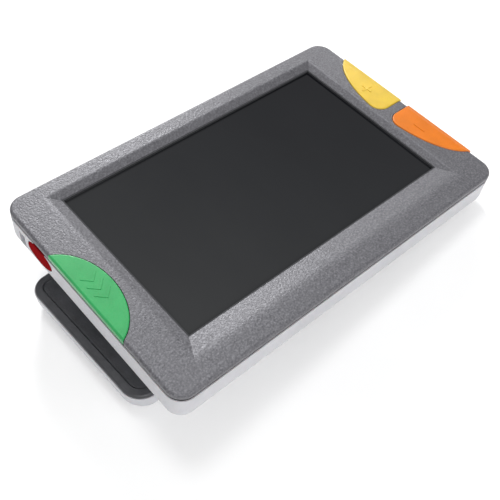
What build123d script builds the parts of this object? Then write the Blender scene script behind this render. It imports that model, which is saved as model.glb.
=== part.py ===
"""Handheld video magnifier: a five-inch screen unit that leans on its fold-out stand handle.

Three frames are used, all in millimetres. The unit frame has its origin at the centre of the
unit's flat back, +X to the user's right, +Y to the far edge and +Z out of the screen. The handle
frame has its origin on the hinge axis, level with the table. The row frame stands on the table
under the middle of the whole object, +Z up. Every piece is drawn in one of the first two frames
and moved to the row frame at the end.
"""

import math
import os

from build123d import *

# ---------------------------------------------------------------- driving dimensions
UNIT_W = 140.2  # along X
UNIT_D = 87.4  # along Y
UNIT_T = 15.0  # back plane to bezel rim
SIDE = UNIT_W / 2
CORNER_R = 5.6
WALL = 1.8
BACK_EDGE_R = 5.0  # rounding between side wall and back
SEAM_LOW = 11.8  # top of the rear housing's wall
SEAM_HIGH = 13.0  # underside of the bezel's flat rim
RIM_R = 1.0

TILT = 6.8  # how far the unit leans, its left end up
FOOT_X, FOOT_Y, FOOT_R, FOOT_T = 60.0, 28.0, 4.0, 1.65

WINDOW_X = (-54.4, 55.4)  # opening over the screen
WINDOW_Y = (-28.7, 35.5)
SLOPE_X = (-58.4, 57.8)  # where the sloped frame meets the flat rim
SLOPE_Y = (-36.2, 37.8)
WINDOW_Z = 13.3  # lowest edge of the slope
CREST_SHARE = 0.22  # how much of each slope is rounded into the rim
LIP_Z = 12.4  # underside of the frame round the window
LENS_TOP = 12.35
SEAL_TOP, SEAL_W = 13.2, 0.5  # the black seal inside the window

HINGE_X, HINGE_Z = -12.0, -5.2  # hinge axis in the unit frame
HINGE_H = 5.0  # height of the hinge axis above the table
HANDLE_REACH = 61.8  # hinge axis to the middle of the handle's free end
HANDLE_SKEW = 0.8  # how much further than that the far corner reaches, and the near one less
HANDLE_HALF = 28.4
HANDLE_NEAR_R = 7.6
HANDLE_FAR_R = 5.6
HANDLE_BASE_R = 4.2
COVER_INSET = 0.3
HANDLE_WALL = 1.6
HANDLE_BASE = -4.6
HANDLE_SEAM = 3.6
HANDLE_TOP = 4.8
BARREL_R = 4.6
BARREL_HALF = 21.3
LUG_CLEAR = 5.4  # handle edge beside the hinge brackets, from the axis
PIN_R = 1.5
BRACKET_Y, BRACKET_T = 24.6, 5.4

KEY_GAP = 0.2
KEY_TOP = 15.3
MARK_H = 0.15
KEY_SKIRT_Z = 13.1  # underside of the part of a key that covers the seam
KEY_FLANGE_Z = 11.6
KEY_FLANGE = 0.8
LEFT_KEY = (-74.0, -0.5, 13.8, 19.5)  # oval: centre x, centre y, half width, half length
RIGHT_KEYS = (73.0, -0.7, 14.7, 31.6)
RIGHT_SPLIT = 1.9  # half the distance between the two right keys
RIGHT_PROUD = 0.5  # how far the right keys stand out of the side
LEFT_BEVEL = (0.5, 0.5)  # outer bevel of a key: width across its top, and fall
RIGHT_BEVEL = (1.9, 0.5)
POWER_Y, POWER_Z, POWER_A, POWER_B, POWER_PROUD = 24.0, 8.6, 6.4, 3.4, 0.3

BOSSES = [(x, y) for x in (-63.5, 63.5) for y in (-37.5, 37.5)] + [(-22, -38.2), (22, -38.2)]
BOARD_X, BOARD_Y, BOARD_Z = (2.0, 56.0), (-30.0, 38.0), (5.7, 6.7)
BOARD_POSTS = [(x, y) for x in (6.0, 52.0) for y in (-26.0, 34.0)]
SCREEN_CX, SCREEN_CY = 0.7, 3.65
CAMERA_X = 20.0
COWL_Z = -3.0
LED_Y = 13.0
USB_X, JACK_X = 20.0, 38.0
USB_Z, JACK_Z = 4.1, 5.1
JACK_BORE = 1.8
SWITCHES = {"green": (-63.0, 0.0), "yellow": (64.2, 13.0), "orange": (64.2, -13.0)}
KEY_BOARD_Z = (6.0, 7.0)
STRAP_Y, STRAP_Z = 34.0, 6.9
HANDLE_SCREWS = [(x, y) for x in (-38.0, -16.0) for y in (-18.0, 18.0)]
PAD_X = [(-52.0, -44.0), (-9.5, -1.5)]
PAD_HALF = 17.0

# ---------------------------------------------------------------- placing, worked out
LEAN = math.radians(TILT)
UNIT_LIFT = FOOT_X * math.sin(LEAN) + FOOT_T * math.cos(LEAN)
HINGE_AT_X = HINGE_X * math.cos(LEAN) + HINGE_Z * math.sin(LEAN)


# ---------------------------------------------------------------- helpers
def plate(width, depth, radius, low, high, cx=0.0, cy=0.0):
    """A flat plate with rounded corners between two heights."""
    return Pos(cx, cy, low) * extrude(RectangleRounded(width, depth, radius), high - low)


def block(xs, ys, zs):
    """A box given by its limits along each axis."""
    middle = [(pair[0] + pair[1]) / 2 for pair in (xs, ys, zs)]
    return Pos(*middle) * Box(xs[1] - xs[0], ys[1] - ys[0], zs[1] - zs[0])


def post(x, y, radius, low, high):
    """An upright round post."""
    return Pos(x, y, (low + high) / 2) * Cylinder(radius, high - low)


def rod_y(x, z, radius, low, high):
    """A round rod along Y."""
    return Pos(x, (low + high) / 2, z) * Rot(90, 0, 0) * Cylinder(radius, high - low)


def rod_x(y, z, radius, low, high):
    """A round rod along X."""
    return Pos((low + high) / 2, y, z) * Rot(0, 90, 0) * Cylinder(radius, high - low)


def outline_plate(inset, low, high):
    """The unit's outline moved inwards, as a plate."""
    return plate(UNIT_W - 2 * inset, UNIT_D - 2 * inset, CORNER_R - inset, low, high)


def slab(area, low, high):
    """A plan area as a solid between two heights."""
    return Pos(0, 0, low) * extrude(area, high - low)


def group(shapes):
    """Solids that don't touch, kept in one piece of the assembly."""
    return Compound([solid for shape in shapes for solid in shape.solids()])


def oval(spec, grow):
    """A key's oval, grown by a margin."""
    return Pos(spec[0], spec[1]) * Ellipse(spec[2] + grow, spec[3] + grow)


def in_x(low, high):
    """A band of the plan between two X limits."""
    return Pos((low + high) / 2, 0) * Rectangle(high - low, UNIT_D + 20)


# ---------------------------------------------------------------- key outlines
def left_key_area(grow):
    """The left key in plan: a D against the unit's left side."""
    return oval(LEFT_KEY, grow) & in_x(-SIDE, -SIDE + 30)


def left_key_half(grow):
    """Half the left key's length at the unit's side."""
    across = (abs(LEFT_KEY[0]) - SIDE) / (LEFT_KEY[2] + grow)
    return (LEFT_KEY[3] + grow) * math.sqrt(1 - across**2)


def right_key_area(grow, side):
    """One right key in plan: side is 1 for the far key and -1 for the near one."""
    near = RIGHT_KEYS[1] + side * (RIGHT_SPLIT - grow)
    half_plane = Pos(SIDE, near + side * 30) * Rectangle(60, 60)
    shape = oval(RIGHT_KEYS, grow) & half_plane & in_x(50, SIDE + RIGHT_PROUD)
    return fillet(shape.vertices().sort_by(Axis.X)[0], 4.5 + grow)


def key_cap(area, flange_area, inner_band, outer_x, bevel):
    """A key cap with a skirt over the seam and a flange that holds it under the bezel.

    Its outer edge is bevelled: the bevel's width across the top, then how far it falls.
    """
    cap = slab(area, KEY_SKIRT_Z, KEY_TOP)
    top = cap.faces().sort_by(Axis.Z)[-1]
    outer = [e for e in top.edges() if abs(e.center().X - outer_x) < 0.05]
    cap = chamfer(outer, *bevel, reference=top)
    cap = fillet(cap.edges().group_by(Axis.Z)[-1], 0.4)
    neck = slab(area & inner_band, KEY_FLANGE_Z, KEY_SKIRT_Z + 0.5)
    flange = slab(flange_area & inner_band, KEY_FLANGE_Z, SEAM_HIGH - 0.1)
    return cap + neck + flange


def raised(area):
    """A tactile mark that stands a little out of a key's top."""
    return slab(area, KEY_TOP - 0.3, KEY_TOP + MARK_H)


def chevron(cx, cy, size):
    """A V mark that points towards the user."""
    arms = Polyline((cx - size, cy + size * 0.6), (cx, cy - size * 0.4), (cx + size, cy + size * 0.6))
    return trace(arms, 0.7)


def power_oval(grow, length):
    """An oval rod along Z for the side key, its long way along Y."""
    return extrude(Ellipse(POWER_B + grow, POWER_A + grow), length)


# ---------------------------------------------------------------- casings
def rear_housing():
    """The light lower casing: a tray with its bosses, ribs and cut-outs."""
    tray = outline_plate(0, 0, SEAM_LOW)
    tray = fillet(tray.edges().group_by(Axis.Z)[0], BACK_EDGE_R)
    hollow = outline_plate(WALL, WALL, SEAM_LOW + 2)
    hollow = fillet(hollow.edges().group_by(Axis.Z)[0], BACK_EDGE_R - WALL)
    inside = outline_plate(WALL - 0.3, WALL - 0.3, SEAM_LOW)
    inside = fillet(inside.edges().group_by(Axis.Z)[0], BACK_EDGE_R - WALL + 0.3)
    tray -= hollow
    ribs = [post(x, y, 2.6, 1.0, 9.0) for x, y in BOSSES]
    ribs += [post(x, y, 2.2, 1.0, BOARD_Z[0]) for x, y in BOARD_POSTS]
    ribs += [post(x, y, 1.5, 1.0, 7.9) for x, y in [(-54, -28), (-54, 34), (-3, -30.3), (-3, 36)]]
    ribs += [post(57.9, y, 1.0, 1.0, 7.9) for y in (-30.5, 33.0)]
    ribs += [block((-69, -60), (y - 0.8, y + 0.8), (1.0, KEY_BOARD_Z[0])) for y in (-14, 12)]
    ribs += [block((60.8, 69), (y - 0.8, y + 0.8), (1.0, KEY_BOARD_Z[0])) for y in (-24, 24)]
    ribs.append(block((-69, -66), (STRAP_Y - 2.5, STRAP_Y + 2.8), (1.0, 10.2)))
    for rib in ribs:
        tray += rib & inside
    cuts = []
    for x, y in BOSSES:
        cuts.append(post(x, y, 1.15, -1, 10))
        cuts.append(post(x, y, 2.1, -1, 1.7))
    cuts += [post(x, y, 0.82, 2.4, 7) for x, y in BOARD_POSTS]
    cuts.append(plate(30, 38, 3, -1, 3, CAMERA_X, 0))
    for side in (-1, 1):
        y = side * BRACKET_Y
        cuts.append(block((HINGE_X - 4.7, HINGE_X + 4.7), (y - 2.8, y + 2.8), (-1, 3)))
        cuts += [post(HINGE_X + dx, y, 0.82, 0.6, 3) for dx in (-7.2, 7.2)]
        cuts.append(post(FOOT_X, side * FOOT_Y, FOOT_R, -1, 0.5))
    spots = [(0.0, 0.0)] + [(math.cos(k * math.pi / 3), math.sin(k * math.pi / 3)) for k in range(6)]
    cuts += [post(44 + 3.4 * x, -22 + 3.4 * y, 0.55, -1, 3) for x, y in spots]
    cuts.append(Pos(-SIDE - 3, POWER_Y, POWER_Z) * Rot(0, 90, 0) * power_oval(KEY_GAP, 8))
    cuts.append(block((-72, -67), (STRAP_Y - 1.6, STRAP_Y + 1.6), (STRAP_Z - 2.6, STRAP_Z + 2.6)))
    cuts.append(post(-69.0, STRAP_Y, 0.5, STRAP_Z - 3.3, STRAP_Z + 3.3))
    socket = extrude(RectangleRounded(9.4, 3.6, 1.7), 10)
    cuts.append(Pos(USB_X, UNIT_D / 2 - 5, USB_Z) * Rot(-90, 0, 0) * socket)
    cuts.append(rod_y(JACK_X, JACK_Z, 2.7, UNIT_D / 2 - 5, UNIT_D / 2 + 2))
    for cut in cuts:
        tray -= cut
    return tray


def key_zones(low, high, margin):
    """The space round the top keys between two heights, clear of the skirt and the gasket."""
    left = LEFT_KEY[3] + margin
    right = RIGHT_KEYS[3] + margin
    zones = block((-SIDE - 2, -60), (-left, left), (low, high))
    return zones + block((60, SIDE + 2), (RIGHT_KEYS[1] - right, RIGHT_KEYS[1] + right), (low, high))


def seam_gasket():
    """The dark band in the seam, lower beside the keys so that they can travel."""
    ring = outline_plate(0.3, SEAM_LOW, SEAM_HIGH) - outline_plate(1.8, SEAM_LOW - 1, SEAM_HIGH + 1)
    return ring - key_zones(12.1, SEAM_HIGH + 1, 1.2)


def slope_profile(window, slope):
    """The window and its flat sloped sides, cut across one axis, with a soft crest at the rim."""
    sides = []
    for low, crest, outer in zip(window, slope, (slope[0] - 3, slope[1] + 3)):
        sides.append([(outer, 18), (outer, UNIT_T), (crest, UNIT_T), (low, WINDOW_Z), (low, 11)])
    area = make_face(Polyline(*sides[0], *reversed(sides[1]), close=True))
    for crest, low in zip(slope, window):
        run = abs(crest - low)
        turn = math.atan2(UNIT_T - WINDOW_Z, run)
        corner = area.vertices().sort_by_distance((crest, UNIT_T, 0))[0]
        area = fillet(corner, CREST_SHARE * run / math.tan(turn / 2))
    return area


def window_cut():
    """What the sloped frame and the window take out of the bezel."""
    across = extrude(Plane.XZ * slope_profile(WINDOW_X, SLOPE_X), 100, both=True)
    along = extrude(Plane.YZ * slope_profile(WINDOW_Y, SLOPE_Y), 100, both=True)
    return across & along


def front_bezel():
    """The grey front: flat rim, sloped frame round the window, skirt and screw bosses."""
    rim = outline_plate(0, SEAM_HIGH, UNIT_T)
    rim = fillet(rim.edges().group_by(Axis.Z)[-1], RIM_R)
    lip = plate(117, 72, 2, LIP_Z, SEAM_HIGH, SCREEN_CX, SCREEN_CY)
    skirt = outline_plate(2.0, 10.6, SEAM_HIGH) - outline_plate(3.2, 10, SEAM_HIGH + 1)
    skirt -= key_zones(10, SEAM_HIGH + 1, 1.4)
    skirt -= block((-SIDE, -60), (POWER_Y - 8, POWER_Y + 8), (10, SEAM_HIGH + 1))
    bezel = rim + lip + skirt
    for x, y in BOSSES:
        bezel += post(x, y, 2.4, 9.2, SEAM_HIGH + 0.5)
    bezel -= window_cut()
    for x, y in BOSSES:
        bezel -= post(x, y, 1.02, 9, 12.6)
    open_side = Pos(-SIDE - 1, 0) * Rectangle(2.02, 2 * left_key_half(KEY_GAP))
    bezel -= slab(left_key_area(KEY_GAP) + open_side, 10, 16)
    for side in (-1, 1):
        bezel -= slab(right_key_area(KEY_GAP, side), 10, 16)
    return bezel


# ---------------------------------------------------------------- screen stack
def screen_plate(width, depth, low, high, radius=1.0):
    """A plate centred on the screen."""
    return plate(width, depth, radius, low, high, SCREEN_CX, SCREEN_CY)


def lcd_frame():
    """The steel tray that carries the screen stack."""
    tray = screen_plate(117, 72, 7.9, 12.0, 1.5)
    tray -= screen_plate(114.6, 69.6, 8.3, 13, 1.0)
    return tray - screen_plate(100, 56, 7, 9, 3)


def screen_gasket():
    """The thin black seal that lines the window over the cover glass."""
    ring = block(WINDOW_X, WINDOW_Y, (LENS_TOP + 0.01, SEAL_TOP))
    inner_x = (WINDOW_X[0] + SEAL_W, WINDOW_X[1] - SEAL_W)
    inner_y = (WINDOW_Y[0] + SEAL_W, WINDOW_Y[1] - SEAL_W)
    return ring - block(inner_x, inner_y, (LENS_TOP - 1, SEAL_TOP + 1))


def display_flex():
    """The ribbon from the screen's near edge to the main board."""
    tail = block((8, 26), (-34.0, -27.5), (6.72, 6.92))
    rise = block((8, 26), (-34.0, -33.8), (6.72, 11.0))
    return tail + rise + block((8, 26), (-34, -32.38), (10.8, 11.0))


# ---------------------------------------------------------------- electronics
def main_board():
    """The circuit board, notched for the video jack."""
    board = block(BOARD_X, BOARD_Y, BOARD_Z)
    board -= block((JACK_X - 3.2, JACK_X + 3.2), (30.4, 39), (5, 7))
    for x, y in BOARD_POSTS:
        board -= post(x, y, 0.95, 5, 7)
    return board


def shield_can():
    """The pressed cover over the processor."""
    can = plate(24, 20, 1, 6.7, 7.7, 38, 2)
    return can - plate(23.4, 19.4, 0.7, 6.6, 7.45, 38, 2)


def board_parts():
    """Chips and capacitors on the main board's top."""
    sizes = [(12, 16, 7, 7, 0.9), (12, 27, 4, 3, 0.7), (20, 20, 5, 4, 0.8), (30, 22, 6, 3, 0.8)]
    sizes += [(46, 22, 4, 4, 0.9), (12, -14, 6, 5, 0.8), (50, -18, 3, 6, 0.9), (34, -16, 5, 5, 0.7)]
    chips = []
    for x, y, width, depth, height in sizes:
        chips.append(plate(width, depth, 0.2, 6.7, 6.7 + height, x, y))
    return group(chips)


def board_screws():
    """The four screws that hold the main board."""
    screws = []
    for x, y in BOARD_POSTS:
        screws.append(post(x, y, 1.5, 6.7, 7.6) + post(x, y, 0.8, 2.6, 6.8) - cross_recess(x, y, 7.6))
    return group(screws)


def battery_pack():
    """The flat rechargeable cell."""
    pack = plate(50, 38, 1.5, 1.8, 6.6, -31, 0)
    return fillet(pack.edges().group_by(Axis.Z)[0] + pack.edges().group_by(Axis.Z)[-1], 0.9)


def battery_lead():
    """The pair of wires from the cell to its plug under the board."""
    lead = block((5, 9), (-6.8, -2.8), (4.2, 5.7))
    for y in (-4.0, -5.6):
        lead += rod_x(y, 5.0, 0.55, -6.0, 5.5)
    return lead


def usb_port():
    """The metal-shelled charging socket under the board's far edge."""
    spot = Rot(-90, 0, 0)
    shell = Pos(USB_X, 34.4, USB_Z) * spot * extrude(RectangleRounded(9.0, 3.2, 1.5), 9.2)
    mouth = Pos(USB_X, 36.4, USB_Z) * spot * extrude(RectangleRounded(8.4, 2.6, 1.25), 9)
    tongue = block((USB_X - 3.3, USB_X + 3.3), (36, 42.4), (USB_Z - 0.35, USB_Z + 0.35))
    return shell - mouth + tongue


def av_jack():
    """The video output socket, with a round collar in the wall."""
    body = block((JACK_X - 3, JACK_X + 3), (30.8, 41.0), (JACK_Z - 2.5, JACK_Z + 2.5))
    body += rod_y(JACK_X, JACK_Z, 2.6, 40.9, UNIT_D / 2)
    return body - rod_y(JACK_X, JACK_Z, JACK_BORE, 32.0, UNIT_D / 2 + 1)


def switch_base(x, y):
    """A switch body with a round bore for its plunger."""
    body = block((x - 3, x + 3), (y - 3, y + 3), (KEY_BOARD_Z[1], 10.0))
    return body - post(x, y, 1.83, 8.2, 11)


def power_switch_base():
    """The side key's switch, lying on the left key board."""
    body = block((-65.6, -61.6), (POWER_Y - 3, POWER_Y + 3), (KEY_BOARD_Z[1], 10.3))
    return body - rod_x(POWER_Y, POWER_Z, 1.28, -66, -63.2)


# ---------------------------------------------------------------- camera and lights
def camera_cowl():
    """The raised block on the back that holds the camera and its two lights."""
    cowl = plate(36, 44, 4, COWL_Z, 0, CAMERA_X, 0)
    cowl = fillet(cowl.edges().group_by(Axis.Z)[0], 1.2)
    cowl += plate(29.6, 37.6, 2.8, -0.5, 1.7, CAMERA_X, 0)
    cowl -= plate(26.6, 34.6, 1.5, -1.9, 3, CAMERA_X, 0)
    for dx in (-11.8, 11.8):
        for dy in (-15.8, 15.8):
            cowl += post(CAMERA_X + dx, dy, 1.1, -2.0, -0.2)
    cowl -= post(CAMERA_X, 0, 6.1, COWL_Z - 1, -2.3)
    cowl -= post(CAMERA_X, 0, 4.5, COWL_Z - 1, 0)
    for side in (-1, 1):
        cowl -= plate(9.2, 5.2, 1.2, COWL_Z - 1, 0, CAMERA_X, side * LED_Y)
    return cowl


def camera_barrel():
    """The holder on the camera board and its focusing tube."""
    holder = block((CAMERA_X - 4.5, CAMERA_X + 4.5), (-4.5, 4.5), (1.9, 4.9))
    holder += post(CAMERA_X, 0, 3.6, -1.4, 2)
    return holder - post(CAMERA_X, 0, 2.9, -2, 4.2)


def camera_lens():
    """The objective, domed towards the page it reads."""
    return post(CAMERA_X, 0, 2.88, -1.3, 1.2) & Pos(CAMERA_X, 0, 5.8) * Sphere(6.9)


def led_board():
    """The lamp board round the camera tube."""
    return plate(26.2, 34.2, 1.3, -0.2, 0.6, CAMERA_X, 0) - post(CAMERA_X, 0, 4.2, -1, 2)


def led_emitters():
    """Two pairs of lamps, one pair under each lamp window."""
    chips = []
    for y in (-LED_Y, LED_Y):
        for x in (CAMERA_X - 2.4, CAMERA_X + 2.4):
            chips.append(block((x - 1.2, x + 1.2), (y - 1, y + 1), (-0.95, -0.2)))
    return group(chips)


def led_lenses():
    """The clear windows over the lamps."""
    return group([plate(9.0, 5.0, 1.1, COWL_Z + 0.1, -1.1, CAMERA_X, y) for y in (-LED_Y, LED_Y)])


# ---------------------------------------------------------------- fasteners, feet, hinge
def cross_recess(x, y, face):
    """The cross-shaped recess in a screw head."""
    return Pos(x, y, face) * (Box(1.9, 0.5, 1.2) + Box(0.5, 1.9, 1.2))


def housing_screws():
    """The six screws that join the rear housing to the bezel."""
    screws = []
    for x, y in BOSSES:
        screw = post(x, y, 1.9, 0.35, 1.7) + post(x, y, 1.0, 1.5, 12.2)
        screws.append(screw - cross_recess(x, y, 0.35))
    return group(screws)


def rubber_feet():
    """The two feet under the right end, cut level with the table."""
    under = Rot(0, -TILT, 0) * Pos(0, 0, -10) * Box(400, 200, 20)
    under = Pos(0, 0, -UNIT_LIFT / math.cos(LEAN)) * under
    return group([post(FOOT_X, side * FOOT_Y, FOOT_R, -4, 0.5) - under for side in (-1, 1)])


def hinge_brackets():
    """The two hinge lugs, with feet screwed to the inside of the back."""
    lugs = []
    for y in (-BRACKET_Y, BRACKET_Y):
        ends = (y - BRACKET_T / 2, y + BRACKET_T / 2)
        lug = rod_y(HINGE_X, HINGE_Z, BARREL_R, ends[0], ends[1])
        lug += block((HINGE_X - BARREL_R, HINGE_X + BARREL_R), ends, (HINGE_Z, 2.0))
        lug += block((HINGE_X - 9.5, HINGE_X + 9.5), ends, (1.8, 3.0))
        for dx in (-7.2, 7.2):
            lug -= post(HINGE_X + dx, y, 0.95, 1, 4)
        lugs.append(lug - rod_y(HINGE_X, HINGE_Z, PIN_R + 0.02, ends[0] - 1, ends[1] + 1))
    return group(lugs)


def bracket_screws():
    """The four short screws that hold the hinge brackets down."""
    screws = []
    for y in (-BRACKET_Y, BRACKET_Y):
        for x in (HINGE_X - 7.2, HINGE_X + 7.2):
            screws.append(post(x, y, 1.4, 3.0, 3.9) + post(x, y, 0.8, 0.7, 3.1) - cross_recess(x, y, 3.9))
    return group(screws)


def hinge_pins():
    """The two pins the handle turns on, fixed in the brackets."""
    return group([rod_y(HINGE_X, HINGE_Z, PIN_R, *ends) for ends in ((14.0, 27.2), (-27.2, -14.0))])


def hinge_washers():
    """Thin washers between the handle's barrel and the brackets."""
    washers = []
    for low in (21.4, -21.8):
        washer = rod_y(HINGE_X, HINGE_Z, 3.5, low, low + 0.4)
        washers.append(washer - rod_y(HINGE_X, HINGE_Z, PIN_R + 0.05, low - 1, low + 1))
    return group(washers)


# ---------------------------------------------------------------- keys
def green_button():
    """The left key, with three chevrons to feel."""
    flange = left_key_area(KEY_GAP + KEY_FLANGE)
    cap = key_cap(left_key_area(0), flange, in_x(-67.8, -50), -SIDE, LEFT_BEVEL)
    for y in (-3.6, 0.0, 3.6):
        cap += raised(chevron(-65.0, y, 2.6))
    return cap


def right_button(side, mark):
    """One of the right keys with its mark."""
    flange = right_key_area(KEY_GAP + KEY_FLANGE, side)
    band = in_x(59.8, 67.8)
    cap = key_cap(right_key_area(0, side), flange, band, SIDE + RIGHT_PROUD, RIGHT_BEVEL)
    return cap + raised(Pos(64.2, side * 13.0) * mark)


def power_button():
    """The oval key in the left side, cut level under the seam and lower inside, clear of the left key."""
    cap = Pos(-SIDE - POWER_PROUD, POWER_Y, POWER_Z) * Rot(0, 90, 0) * power_oval(0, 2.9)
    cap = fillet(cap.edges().group_by(Axis.X)[0], 0.7)
    cap += Pos(-68.0, POWER_Y, POWER_Z) * Rot(0, 90, 0) * power_oval(0.6, 0.8)
    cap -= block((-68.3, -60), (10, 40), (KEY_FLANGE_Z - 1.2, 20))
    return cap - block((-75, -60), (10, 40), (SEAM_LOW - 0.25, 20))


# ---------------------------------------------------------------- handle
def handle_outline(inset, low, high, root):
    """The handle's plan in the handle frame, its free end on -X, up to root short of the axis."""
    half, reach = HANDLE_HALF - inset, HANDLE_REACH - inset
    near, far = (-reach + HANDLE_SKEW, -half), (-reach - HANDLE_SKEW, half)
    area = make_face(Polyline((-root, -half), (-root, half), far, near, close=True))
    area = fillet(area.vertices().sort_by_distance((*far, 0))[0], HANDLE_FAR_R - inset)
    area = fillet(area.vertices().sort_by_distance((*near, 0))[0], HANDLE_NEAR_R - inset)
    return slab(area, low, high)


def rounded_base(solid, root, radius):
    """Rounds the lower edges of a handle solid, except at its root."""
    return fillet([e for e in solid.edges().group_by(Axis.Z)[0] if e.center().X < -root - 0.1], radius)


def handle_shell():
    """The light underside of the handle with the hinge barrel."""
    shell = rounded_base(handle_outline(0, HANDLE_BASE, HANDLE_SEAM, LUG_CLEAR), LUG_CLEAR, HANDLE_BASE_R)
    hollow = handle_outline(HANDLE_WALL, HANDLE_BASE + HANDLE_WALL, HANDLE_SEAM + 2, LUG_CLEAR + 2)
    shell -= rounded_base(hollow, LUG_CLEAR + 2, HANDLE_BASE_R - HANDLE_WALL)
    shell += block((-LUG_CLEAR - 1, 0), (-BARREL_HALF, BARREL_HALF), (HANDLE_BASE, HANDLE_SEAM))
    shell += rod_y(0, 0, BARREL_R, -BARREL_HALF, BARREL_HALF)
    shell -= rod_y(0, 0, PIN_R + 0.05, 13.6, BARREL_HALF + 1)
    shell -= rod_y(0, 0, PIN_R + 0.05, -BARREL_HALF - 1, -13.6)
    for x, y in HANDLE_SCREWS:
        shell += post(x, y, 3.0, HANDLE_BASE + 1, HANDLE_BASE + 3)
        shell -= post(x, y, 1.0, HANDLE_BASE - 1, 0)
        shell -= post(x, y, 1.9, HANDLE_BASE - 1, HANDLE_BASE + 1.4)
    for ends in PAD_X:
        shell -= block(ends, (-PAD_HALF, PAD_HALF), (HANDLE_BASE - 1, HANDLE_BASE + 0.4))
    return shell


def handle_cover():
    """The dark top of the handle: a raised rim round a shallow dish."""
    cover = handle_outline(COVER_INSET, HANDLE_SEAM, HANDLE_TOP, LUG_CLEAR)
    cover += block((-LUG_CLEAR - 1, -3.3), (-BARREL_HALF, BARREL_HALF), (HANDLE_SEAM, HANDLE_TOP))
    cover = fillet([e for e in cover.edges().group_by(Axis.Z)[-1] if e.center().X < -LUG_CLEAR - 0.1], 0.9)
    cover += handle_outline(HANDLE_WALL + 0.1, HANDLE_SEAM - 0.9, HANDLE_SEAM, LUG_CLEAR + 2.1)
    dish = handle_outline(2.9, HANDLE_TOP - 0.7, HANDLE_TOP + 1, LUG_CLEAR + 3)
    cover -= fillet(dish.edges().group_by(Axis.Z)[0], 0.65)
    for x, y in HANDLE_SCREWS:
        cover += post(x, y, 2.4, HANDLE_BASE + 3.1, HANDLE_SEAM)
        cover -= post(x, y, 0.82, HANDLE_BASE + 3, HANDLE_SEAM - 0.2)
    return cover


def handle_screws():
    """The four screws from the underside that hold the cover."""
    screws = []
    for x, y in HANDLE_SCREWS:
        screw = post(x, y, 1.7, HANDLE_BASE + 0.4, HANDLE_BASE + 1.4)
        screw += post(x, y, 0.8, HANDLE_BASE + 1, 3.0)
        screws.append(screw - cross_recess(x, y, HANDLE_BASE + 0.4))
    return group(screws)


def handle_pads():
    """The two rubber strips that the handle stands on."""
    strips = []
    for ends in PAD_X:
        strip = block(ends, (-PAD_HALF, PAD_HALF), (-HINGE_H, HANDLE_BASE + 0.4))
        strips.append(chamfer(strip.edges().group_by(Axis.Z)[0], 0.2))
    return group(strips)


# ---------------------------------------------------------------- assembly
def unit_pieces():
    """Every piece drawn in the unit frame, by name."""
    plus = Rectangle(4.4, 0.8) + Rectangle(0.8, 4.4)
    pieces = {
        "rear_housing": rear_housing(),
        "seam_gasket": seam_gasket(),
        "front_bezel": front_bezel(),
        "screen_gasket": screen_gasket(),
        "screen_lens": screen_plate(114.2, 69.2, 11.62, LENS_TOP),
        "lcd_panel": screen_plate(114.0, 69.0, 10.2, 11.55),
        "backlight": screen_plate(113.6, 68.6, 8.35, 10.15),
        "lcd_frame": lcd_frame(),
        "display_flex": display_flex(),
        "main_board": main_board(),
        "board_parts": board_parts(),
        "shield_can": shield_can(),
        "board_screws": board_screws(),
        "battery_pack": battery_pack(),
        "battery_lead": battery_lead(),
        "buzzer": post(44, -22, 6.2, 1.8, 5.0),
        "usb_port": usb_port(),
        "av_jack": av_jack(),
        "key_board_left": block((-66.0, -59.0), (-17.5, 30.5), KEY_BOARD_Z),
        "key_board_right": block((60.6, 67.5), (-27.0, 27.0), KEY_BOARD_Z),
        "key_flex_left": block((-61.5, 5.0), (-12.0, -6.0), (7.02, 7.18)),
        "key_flex_right": block((53.0, 61.1), (-7.0, 7.0), (7.02, 7.18)),
        "power_switch_base": power_switch_base(),
        "power_switch_plunger": rod_x(POWER_Y, POWER_Z, 1.2, -67.2, -64.3),
        "power_button": power_button(),
        "camera_cowl": camera_cowl(),
        "camera_window": post(CAMERA_X, 0, 6.0, COWL_Z + 0.1, -2.3),
        "camera_barrel": camera_barrel(),
        "camera_lens": camera_lens(),
        "camera_board": block((CAMERA_X - 6, CAMERA_X + 6), (-6, 6), (4.9, 5.7)),
        "led_board": led_board(),
        "led_emitters": led_emitters(),
        "led_lenses": led_lenses(),
        "housing_screws": housing_screws(),
        "rubber_feet": rubber_feet(),
        "strap_bar": post(-69.0, STRAP_Y, 0.48, STRAP_Z - 3.25, STRAP_Z + 3.25),
        "hinge_brackets": hinge_brackets(),
        "bracket_screws": bracket_screws(),
        "hinge_pins": hinge_pins(),
        "hinge_washers": hinge_washers(),
        "green_button": green_button(),
        "yellow_button": right_button(1, plus),
        "orange_button": right_button(-1, Rectangle(0.8, 4.8)),
    }
    for colour, (x, y) in SWITCHES.items():
        pieces[colour + "_switch_base"] = switch_base(x, y)
        pieces[colour + "_switch_plunger"] = post(x, y, 1.75, 9.2, KEY_FLANGE_Z)
    return pieces


def handle_pieces():
    """Every piece drawn in the handle frame, by name."""
    return {
        "handle_shell": handle_shell(),
        "handle_cover": handle_cover(),
        "handle_screws": handle_screws(),
        "handle_pads": handle_pads(),
    }


def main():
    unit_at = Location((0, 0, UNIT_LIFT), (0, TILT, 0))
    handle_at = Location((HINGE_AT_X, 0, HINGE_H))
    placed = {name: unit_at * shape for name, shape in unit_pieces().items()}
    placed.update({name: handle_at * shape for name, shape in handle_pieces().items()})
    boxes = [shape.bounding_box() for shape in placed.values()]
    middle = (min(box.min.X for box in boxes) + max(box.max.X for box in boxes)) / 2
    os.makedirs("parts", exist_ok=True)
    for name, shape in placed.items():
        export_step(Pos(-middle, 0, 0) * shape, "parts/" + name + ".step")
    print("pieces", len(placed), "shift", round(-middle, 4))
    print("hinge axis", round(HINGE_AT_X - middle, 4), HINGE_H, "lift", round(UNIT_LIFT, 4))
    print("height", round(max(box.max.Z for box in boxes), 3), round(min(box.min.Z for box in boxes), 3))


main()
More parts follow.
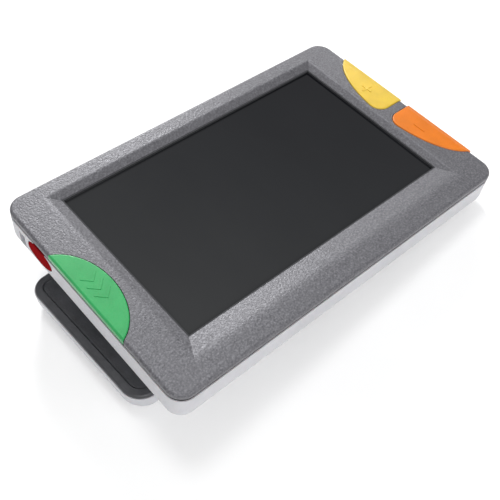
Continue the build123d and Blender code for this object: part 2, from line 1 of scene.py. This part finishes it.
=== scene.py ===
"""Looks, floor, light and camera for the video magnifier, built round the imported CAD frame."""

import bpy
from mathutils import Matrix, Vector


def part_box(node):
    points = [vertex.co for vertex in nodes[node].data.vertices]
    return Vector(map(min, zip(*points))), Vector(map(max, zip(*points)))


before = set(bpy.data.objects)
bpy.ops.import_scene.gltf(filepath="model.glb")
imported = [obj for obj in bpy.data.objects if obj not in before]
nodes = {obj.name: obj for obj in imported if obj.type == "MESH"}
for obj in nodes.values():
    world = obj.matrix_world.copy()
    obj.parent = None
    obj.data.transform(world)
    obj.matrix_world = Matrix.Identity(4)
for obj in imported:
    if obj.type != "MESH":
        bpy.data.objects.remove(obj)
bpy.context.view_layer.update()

MM = 0.001

# ------------------------------------------------------------------ camera
CAMERA_AT = Vector((-0.10176, -0.11225, 0.22003))
CAMERA_LOOK = Vector((0.36284, 0.41078, -0.83643))
CLIP_START = 0.01
LENS_MM = 54.53
SENSOR_MM = 36.0


def make_camera():
    data = bpy.data.cameras.new("view")
    data.lens = LENS_MM
    data.sensor_width = SENSOR_MM
    data.clip_start = CLIP_START
    camera = bpy.data.objects.new("view", data)
    bpy.context.collection.objects.link(camera)
    camera.location = CAMERA_AT
    camera.rotation_euler = CAMERA_LOOK.to_track_quat("-Z", "Y").to_euler()
    bpy.context.scene.camera = camera


# ------------------------------------------------------------------ node helpers
class Material:
    """A node material and short ways to add nodes to it. Textures lie in the object's own metres."""

    def __init__(self, name):
        self.material = bpy.data.materials.new(name)
        self.material.use_nodes = True
        self.nodes = self.material.node_tree.nodes
        self.links = self.material.node_tree.links
        self.shader = self.nodes["Principled BSDF"]
        self.coords = self.nodes.new("ShaderNodeTexCoord").outputs["Object"]

    def set(self, **values):
        """Sets the shader's own sockets: underscores in a name stand for spaces."""
        for name, value in values.items():
            self.shader.inputs[name.replace("_", " ")].default_value = value

    def link(self, source, socket):
        self.links.new(source, self.shader.inputs[socket])

    def scaled(self, size, stretch):
        """Object coordinates with one unit per texture cell of the given size, in millimetres."""
        mapping = self.nodes.new("ShaderNodeMapping")
        mapping.inputs["Scale"].default_value = [1 / (size * MM * way) for way in stretch]
        self.links.new(self.coords, mapping.inputs["Vector"])
        return mapping.outputs["Vector"]

    def noise(self, size, detail=2.0, stretch=(1, 1, 1)):
        """Soft noise whose features are about size millimetres wide."""
        texture = self.nodes.new("ShaderNodeTexNoise")
        texture.inputs["Scale"].default_value = 1.0
        texture.inputs["Detail"].default_value = detail
        self.links.new(self.scaled(size, stretch), texture.inputs["Vector"])
        return texture.outputs[0]

    def cells(self, size, feature="F1", output="Distance"):
        """Cellular grain, such as pebbles or flakes."""
        texture = self.nodes.new("ShaderNodeTexVoronoi")
        texture.feature = feature
        texture.inputs["Scale"].default_value = 1.0
        self.links.new(self.scaled(size, (1, 1, 1)), texture.inputs["Vector"])
        return texture.outputs[output]

    def along(self, start, end):
        """How far a point lies on the way from start to end, from 0 to 1."""
        way = Vector(end) - Vector(start)
        moved = self.nodes.new("ShaderNodeVectorMath")
        moved.operation = "SUBTRACT"
        self.links.new(self.coords, moved.inputs[0])
        moved.inputs[1].default_value = start
        dot = self.nodes.new("ShaderNodeVectorMath")
        dot.operation = "DOT_PRODUCT"
        self.links.new(moved.outputs["Vector"], dot.inputs[0])
        dot.inputs[1].default_value = way / way.length_squared
        return dot.outputs["Value"]

    def ramp(self, source, *stops):
        """Colours picked by a value: each stop is a position and a colour."""
        ramp = self.nodes.new("ShaderNodeValToRGB")
        points = ramp.color_ramp.elements
        while len(points) < len(stops):
            points.new(0.5)
        for point, (position, colour) in zip(points, stops):
            point.position = position
            point.color = (*colour, 1)
        self.links.new(source, ramp.inputs["Fac"])
        return ramp.outputs["Color"]

    def fit(self, source, low, high, source_low=0.3, source_high=0.7):
        """A value moved to a new range."""
        fitted = self.nodes.new("ShaderNodeMapRange")
        fitted.inputs["From Min"].default_value = source_low
        fitted.inputs["From Max"].default_value = source_high
        fitted.inputs["To Min"].default_value = low
        fitted.inputs["To Max"].default_value = high
        self.links.new(source, fitted.inputs["Value"])
        return fitted.outputs["Result"]

    def math(self, operation, first, second):
        """One sum on two values: each is a socket or a number."""
        maths = self.nodes.new("ShaderNodeMath")
        maths.operation = operation
        for socket, value in zip(maths.inputs, (first, second)):
            if isinstance(value, (int, float)):
                socket.default_value = value
            else:
                self.links.new(value, socket)
        return maths.outputs["Value"]

    def mixed(self, factor, first, second, blend="MIX"):
        """Two colours mixed: each is a socket or a colour."""
        mix = self.nodes.new("ShaderNodeMixRGB")
        mix.blend_type = blend
        for socket, value in zip(mix.inputs, (factor, first, second)):
            if isinstance(value, (int, float)):
                socket.default_value = value
            elif isinstance(value, tuple):
                socket.default_value = (*value, 1)
            else:
                self.links.new(value, socket)
        return mix.outputs["Color"]

    def bump(self, height, depth, strength=1.0, below=None):
        """Relief of the given depth in millimetres, laid over an earlier relief if there is one."""
        bump = self.nodes.new("ShaderNodeBump")
        bump.inputs["Strength"].default_value = strength
        bump.inputs["Distance"].default_value = depth * MM
        self.links.new(height, bump.inputs["Height"])
        if below is not None:
            self.links.new(below, bump.inputs["Normal"])
        self.links.new(bump.outputs["Normal"], self.shader.inputs["Normal"])
        return bump.outputs["Normal"]

    def dress(self, *names):
        """Puts the material on CAD nodes."""
        for name in names:
            slots = nodes[name].data.materials
            slots.clear()
            slots.append(self.material)


def shade(colour, factor):
    """A colour made lighter or darker."""
    return tuple(min(1.0, channel * factor) for channel in colour)


# ------------------------------------------------------------------ stage and light
FLOOR_SIZE = 6.0
PAPER_SHADES = ((0.93, 0.93, 0.93), (0.95, 0.95, 0.95))
WORLD_STRENGTH = 0.46
# name, place, target, size, power
LIGHTS = [
    ("key", (-0.40, -0.50, 0.70), (0, 0, 0), (0.3, 0.3), 3.4),
    ("overhead", (0.10, 0.22, 0.95), (0, 0, 0), (0.25, 0.25), 1.9),
    ("slope_glow_left", (0.234, 0.450, 0.305), (-0.02, -0.03, 0.012), (0.15, 0.13), 2.3),
    ("slope_glow_right", (0.50, 0.33, 0.235), (0.05, -0.03, 0.010), (0.12, 0.10), 0.32),
    ("front_fill", (0.20, -0.80, 0.50), (0, 0, 0), (0.6, 0.4), 2.2),
]


def make_floor():
    bpy.ops.mesh.primitive_plane_add(size=FLOOR_SIZE, location=(0, 0, 0))
    floor = bpy.context.object
    floor.name = "floor"
    paper = Material("floor_white")
    paper.set(Roughness=0.9, Specular_IOR_Level=0.05)
    fibre = paper.noise(60.0)
    paper.link(paper.ramp(fibre, (0.3, PAPER_SHADES[0]), (0.7, PAPER_SHADES[1])), "Base Color")
    floor.data.materials.append(paper.material)


def area_light(name, at, target, size, power):
    data = bpy.data.lights.new(name, "AREA")
    data.shape = "RECTANGLE"
    data.size, data.size_y = size
    data.energy = power
    light = bpy.data.objects.new(name, data)
    bpy.context.collection.objects.link(light)
    light.location = at
    light.rotation_euler = (Vector(target) - Vector(at)).to_track_quat("-Z", "Y").to_euler()


def make_light():
    world = bpy.data.worlds.new("studio")
    bpy.context.scene.world = world
    world.use_nodes = True
    background = world.node_tree.nodes["Background"]
    background.inputs["Color"].default_value = (1, 1, 1, 1)
    background.inputs["Strength"].default_value = WORLD_STRENGTH
    for light in LIGHTS:
        area_light(*light)
    bpy.context.scene.view_settings.view_transform = "Standard"


# ------------------------------------------------------------------ outer materials
def pebbled_paint():
    """The bezel: grey paint with a slight metal flake over a pebbled moulding."""
    paint = Material("bezel_paint")
    paint.set(Metallic=0.25, Specular_IOR_Level=0.45)
    grain = paint.noise(0.62, 3.0)
    broad = paint.noise(9.0, 2.0)
    flake = paint.cells(0.42, output="Color")
    dark = (0.078, 0.077, 0.086)
    middle = (0.112, 0.111, 0.122)
    light = (0.160, 0.159, 0.174)
    tone = paint.ramp(grain, (0.34, dark), (0.52, middle), (0.68, light))
    grey = paint.nodes.new("ShaderNodeHueSaturation")
    grey.inputs["Saturation"].default_value = 0.0
    paint.links.new(flake, grey.inputs["Color"])
    tone = paint.mixed(0.16, tone, grey.outputs["Color"], "OVERLAY")
    tone = paint.mixed(paint.fit(broad, 0.0, 0.35), tone, (0.131, 0.130, 0.141))
    paint.link(tone, "Base Color")
    paint.link(paint.fit(flake, 0.34, 0.52, 0.0, 1.0), "Roughness")
    pebbles = paint.bump(grain, 0.16, 0.8)
    paint.bump(paint.cells(0.9), 0.05, 0.6, pebbles)
    paint.dress("front_bezel")


def shell_plastic():
    """The light casing: satin moulded plastic with a very fine texture."""
    shell = Material("shell_plastic")
    shell.set(Specular_IOR_Level=0.4, Subsurface_Weight=0.06, Subsurface_Scale=0.002)
    mottle = shell.noise(14.0, 3.0)
    texture = shell.noise(0.35, 2.0)
    shell.link(shell.ramp(mottle, (0.3, (0.46, 0.46, 0.484)), (0.7, (0.52, 0.52, 0.545))), "Base Color")
    shell.link(shell.fit(shell.noise(1.2, 3.0), 0.34, 0.5), "Roughness")
    shell.bump(texture, 0.035, 0.7)
    shell.dress("rear_housing", "handle_shell")


def seal_rubber(name, low, high, node):
    """A dark seal, dusty in patches, between its low and high colours. On the seam its near-black colour is
    partly painted shade, standing in for the shade in the gap between the bezel and the shell.
    """
    rubber = Material(name)
    rubber.set(Specular_IOR_Level=0.25)
    dust = rubber.noise(0.9, 4.0)
    rubber.link(rubber.ramp(dust, (0.35, low), (0.75, high)), "Base Color")
    rubber.link(rubber.fit(dust, 0.62, 0.85), "Roughness")
    rubber.bump(rubber.noise(0.3), 0.03)
    rubber.dress(node)


def grained_cover():
    """The handle's dark cover: soft-touch plastic with a leather-like grain."""
    cover = Material("handle_grain")
    cover.set(Specular_IOR_Level=0.45)
    pebble = cover.cells(0.8, "SMOOTH_F1")
    tone = cover.noise(6.0, 4.0)
    cover.link(cover.ramp(tone, (0.3, (0.029, 0.030, 0.034)), (0.7, (0.053, 0.054, 0.060))), "Base Color")
    cover.link(cover.fit(cover.noise(1.1, 3.0), 0.36, 0.55), "Roughness")
    leather = cover.bump(pebble, 0.06, 0.7)
    cover.bump(cover.noise(0.3), 0.02, 0.5, leather)
    cover.dress("handle_cover")


def key_plastic(name, colour, node, roughness, shine):
    """A coloured key: dense satin plastic, a little lighter where the light passes through it."""
    key = Material(name)
    key.set(Specular_IOR_Level=shine, Coat_Weight=0.2 * shine, Coat_Roughness=0.25)
    key.set(Subsurface_Weight=0.08, Subsurface_Scale=0.0015)
    cloud = key.noise(5.0, 3.0)
    speck = key.noise(0.5, 3.0)
    tone = key.ramp(cloud, (0.3, shade(colour, 0.92)), (0.7, shade(colour, 1.08)))
    key.link(key.mixed(key.fit(speck, 0.0, 0.12), tone, shade(colour, 1.35)), "Base Color")
    key.link(key.fit(speck, roughness - 0.06, roughness + 0.08), "Roughness")
    key.bump(key.noise(0.45), 0.02, 0.6)
    key.dress(node)


def screen_glass():
    """The cover glass over the dark screen. Its colour holds a painted reflection: lighter from the far
    right corner towards the near left, with a little noise in the gradient.
    """
    glass = Material("screen_glass")
    glass.set(IOR=1.5, Specular_IOR_Level=0.3)
    low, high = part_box("screen_lens")
    near_left = (low.x, low.y, high.z)
    far_right = (high.x, high.y, low.z)
    # painted reflection: the base colour runs from darkest at the far right corner to lightest at the near
    # left, wobbled a little by stretched noise
    depth = glass.along(far_right, near_left)
    reflection_wobble = glass.noise(38.0, 4.0, (1, 2.2, 1))
    across = glass.math("ADD", depth, glass.fit(reflection_wobble, -0.06, 0.06))
    darkest = (0.004, 0.0043, 0.006)
    middle = (0.014, 0.0148, 0.0165)
    lightest = (0.030, 0.031, 0.032)
    painted_reflection = glass.ramp(across, (0.0, darkest), (0.5, middle), (1.0, lightest))
    glass.link(painted_reflection, "Base Color")
    glass.link(glass.fit(glass.noise(7.0, 5.0), 0.05, 0.08), "Roughness")
    glass.dress("screen_lens")


def soft_rubber():
    """Feet and pads: matte black rubber, greyed by handling."""
    rubber = Material("pad_rubber")
    rubber.set(Specular_IOR_Level=0.2, Sheen_Weight=0.1)
    worn = rubber.noise(2.5, 5.0)
    fresh = (0.018, 0.018, 0.019)
    greyed = (0.055, 0.054, 0.053)
    rubber.link(rubber.ramp(worn, (0.35, fresh), (0.75, greyed)), "Base Color")
    rubber.link(rubber.fit(worn, 0.7, 0.92), "Roughness")
    rubber.bump(rubber.cells(0.5), 0.06, 0.6)
    rubber.dress("rubber_feet", "handle_pads")


def clear_window():
    """The clear windows over the camera and its lamps."""
    window = Material("clear_window")
    window.set(IOR=1.49, Transmission_Weight=0.92)
    haze = window.noise(3.0, 4.0)
    window.link(window.ramp(haze, (0.3, (0.88, 0.92, 0.94)), (0.7, (0.96, 0.98, 0.98))), "Base Color")
    window.link(window.fit(haze, 0.03, 0.12), "Roughness")
    window.dress("camera_window", "led_lenses")


def coated_lens():
    """The camera's objective with its violet coating."""
    lens = Material("lens_glass")
    lens.set(IOR=1.6, Coat_Weight=0.8, Coat_Roughness=0.03)
    ring = lens.noise(1.6, 2.0)
    lens.link(lens.ramp(ring, (0.3, (0.008, 0.006, 0.02)), (0.7, (0.03, 0.014, 0.06))), "Base Color")
    lens.link(lens.fit(ring, 0.04, 0.09), "Roughness")
    lens.dress("camera_lens")


# ------------------------------------------------------------------ inner and small parts
SWITCHED_KEYS = ("power", "green", "yellow", "orange")


def moulded(name, colour, names, roughness=0.5, grain=0.5, depth=0.03):
    """Plain moulded plastic with a fine matte texture and uneven tone."""
    plastic = Material(name)
    tone = plastic.noise(grain * 8, 3.0)
    plastic.link(plastic.ramp(tone, (0.3, shade(colour, 0.82)), (0.7, shade(colour, 1.18))), "Base Color")
    plastic.link(plastic.fit(plastic.noise(grain * 2, 3.0), roughness - 0.08, roughness + 0.1), "Roughness")
    plastic.bump(plastic.noise(grain), depth, 0.6)
    plastic.dress(*names)


def metal(name, colour, names, roughness=0.28, stretch=(6, 1, 1)):
    """Rolled or turned metal with fine drawn lines."""
    sheet = Material(name)
    sheet.set(Metallic=1.0)
    lines = sheet.noise(0.25, 4.0, stretch)
    stain = sheet.noise(5.0, 4.0)
    sheet.link(sheet.ramp(stain, (0.3, shade(colour, 0.85)), (0.7, shade(colour, 1.1))), "Base Color")
    sheet.link(sheet.fit(lines, roughness - 0.07, roughness + 0.12), "Roughness")
    sheet.bump(lines, 0.008, 0.5)
    sheet.dress(*names)


def circuit_board():
    """Green solder mask with tracks that show through it."""
    board = Material("solder_mask")
    board.set(Coat_Weight=0.3, Coat_Roughness=0.2)
    tracks = board.cells(2.2, "DISTANCE_TO_EDGE")
    mask = board.ramp(tracks, (0.05, (0.03, 0.16, 0.07)), (0.09, (0.012, 0.075, 0.032)))
    board.link(board.mixed(board.fit(board.noise(1.0), 0.0, 0.3), mask, (0.02, 0.11, 0.05)), "Base Color")
    board.link(board.fit(board.noise(0.8), 0.28, 0.42), "Roughness")
    board.bump(tracks, 0.03, 0.5)
    board.dress("main_board", "key_board_left", "key_board_right", "camera_board", "led_board")


def dress_inside():
    circuit_board()
    chips = ["board_parts", "buzzer", "av_jack", "camera_barrel"]
    switch_bases = [key + "_switch_base" for key in SWITCHED_KEYS]
    switch_plungers = [key + "_switch_plunger" for key in SWITCHED_KEYS]
    moulded("chip_black", (0.018, 0.018, 0.019), chips, 0.55)
    moulded("switch_black", (0.022, 0.022, 0.024), [*switch_bases, "hinge_brackets"])
    moulded("switch_grey", (0.30, 0.30, 0.31), switch_plungers)
    moulded("cowl_grey", (0.040, 0.040, 0.044), ["camera_cowl"], 0.42, 0.6, 0.05)
    moulded("nylon", (0.72, 0.71, 0.66), ["hinge_washers"], 0.4)
    moulded("flex_film", (0.42, 0.17, 0.035), ["display_flex", "key_flex_left", "key_flex_right"], 0.3)
    moulded("lcd_film", (0.012, 0.012, 0.014), ["lcd_panel"], 0.25, 2.0, 0.005)
    moulded("diffuser", (0.78, 0.78, 0.75), ["backlight"], 0.6, 1.0, 0.01)
    moulded("wire_cover", (0.42, 0.02, 0.015), ["battery_lead"], 0.45)
    moulded("lamp", (0.80, 0.68, 0.18), ["led_emitters"], 0.35, 0.3)
    metal("steel", (0.55, 0.55, 0.56), [
        "lcd_frame", "shield_can", "board_screws", "usb_port", "housing_screws", "strap_bar",
        "bracket_screws", "hinge_pins", "handle_screws"])
    metal("cell_foil", (0.66, 0.67, 0.69), ["battery_pack"], 0.36, (1, 4, 1))


# ------------------------------------------------------------------ the whole scene
# material, colour, CAD node, roughness, shine
KEYS = [
    ("key_green", (0.029, 0.31, 0.092), "green_button", 0.34, 0.4),
    ("key_yellow", (0.60, 0.41, 0.036), "yellow_button", 0.34, 0.4),
    ("key_orange", (0.61, 0.153, 0.002), "orange_button", 0.34, 0.4),
    ("key_red", (0.23, 0.008, 0.010), "power_button", 0.5, 0.0),
]

make_camera()
make_floor()
make_light()
pebbled_paint()
shell_plastic()
# Seam seal, nearly black: a dark seal that also stands in as painted shade for the gap between the bezel
# and the shell.
seal_rubber("seam_seal_and_shade", (0.004, 0.004, 0.005), (0.012, 0.012, 0.013), "seam_gasket")
seal_rubber("window_seal", (0.032, 0.033, 0.036), (0.050, 0.051, 0.055), "screen_gasket")
grained_cover()
for key in KEYS:
    key_plastic(*key)
screen_glass()
soft_rubber()
clear_window()
coated_lens()
dress_inside()
